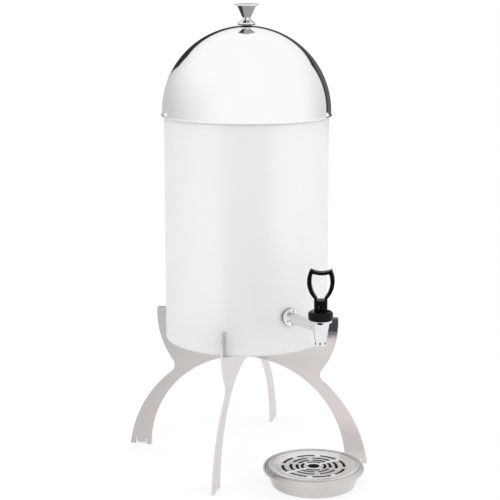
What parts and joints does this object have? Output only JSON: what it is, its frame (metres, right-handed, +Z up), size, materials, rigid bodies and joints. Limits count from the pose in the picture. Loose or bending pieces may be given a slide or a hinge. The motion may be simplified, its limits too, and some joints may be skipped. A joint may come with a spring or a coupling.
{
  "type": "milk dispenser",
  "caption": "Buffet milk dispenser: frosted upright tank with a lift-off polished dome, an ice core inside, a self-closing lever tap, a stand of crossed leg plates and a loose drip tray.",
  "frame": {"origin": "on the floor under the tank's axis, midway between the feet", "axes": "+Z up along the tank's axis; the tap points towards -Y; +X is to the right of a person who faces the tap"},
  "size_m": [0.2808, 0.3871, 0.7133],
  "materials": {
    "stand_steel": "fine satin polish",
    "dome_steel": "mirror polished",
    "tap_chrome": "bright plated",
    "tray_steel": "satin",
    "core_steel": "satin",
    "spring_steel": "bright drawn",
    "frosted_white": "frosted",
    "white_plastic": "satin moulded",
    "clear_glide": "milky clear",
    "soft_white": "matt",
    "black_plastic": "glossy moulded",
    "dark_rubber": "matt"
  },
  "bodies": {
    "stand": {"leg_plate_lower": "stand_steel", "leg_plate_upper": "stand_steel", "foot_glides": "clear_glide", "tank_bumpers": "soft_white"},
    "tank": {"tank": "frosted_white", "core_seat": "white_plastic", "tap_body": "tap_chrome", "shank_collar": "tap_chrome", "outer_gasket": "dark_rubber", "inner_gasket": "dark_rubber", "shank_nut": "white_plastic", "bonnet": "black_plastic", "bonnet_seal": "dark_rubber"},
    "ice_core": {"ice_core": "core_steel"},
    "core_cap": {"core_cap": "white_plastic"},
    "dome": {"dome_cover": "dome_steel", "dome_seat_ring": "dome_steel", "dome_knob": "dome_steel", "knob_washer": "spring_steel", "knob_screw": "spring_steel"},
    "spring_seat": {"spring_washer": "spring_steel", "valve_spring": "spring_steel"},
    "stem": {"valve_stem": "black_plastic", "seat_cup": "soft_white"},
    "handle": {"tap_handle": "black_plastic", "handle_pin": "spring_steel"},
    "tray": {"drip_tray": "tray_steel"},
    "grid": {"drip_grid": "tray_steel"}
  },
  "joints": [
    {"name": "tank_lift", "type": "slide", "parent": "stand", "child": "tank", "axis": [0, 0, 1], "range_m": [0, 0.06]},
    {"name": "dome_lift", "type": "slide", "parent": "tank", "child": "dome", "axis": [0, 0, 1], "range_m": [0, 0.15]},
    {"name": "core_lift", "type": "slide", "parent": "tank", "child": "ice_core", "axis": [0, 0, 1], "range_m": [0, 0.08]},
    {"name": "cap_lift", "type": "slide", "parent": "ice_core", "child": "core_cap", "axis": [0, 0, 1], "range_m": [0, 0.03]},
    {"name": "handle_turn", "type": "hinge", "parent": "tank", "child": "spring_seat", "pos_m": [0, -0.213, 0.27], "axis": [0, 0, 1], "continuous": true},
    {"name": "stem_lift", "type": "slide", "parent": "spring_seat", "child": "stem", "axis": [0, 0, 1], "range_m": [0, 0.00335], "stiffness_N_per_m": 600, "springref_m": -0.004, "deforming": ["valve_spring"]},
    {"name": "handle_tilt", "type": "hinge", "parent": "stem", "child": "handle", "pos_m": [0, -0.213, 0.2843], "axis": [0.809, -0.5878, 0], "range_deg": [0, 40]},
    {"name": "tray_slide", "type": "slide", "parent": "stand", "child": "tray", "axis": [0, -1, 0], "range_m": [0, 0.15]},
    {"name": "grid_lift", "type": "slide", "parent": "tray", "child": "grid", "axis": [0, 0, 1], "range_m": [0, 0.04]}
  ],
  "couplings": [
    {"joint": "handle_tilt", "follows": "stem_lift", "rad_per_m": 208.33}
  ]
}
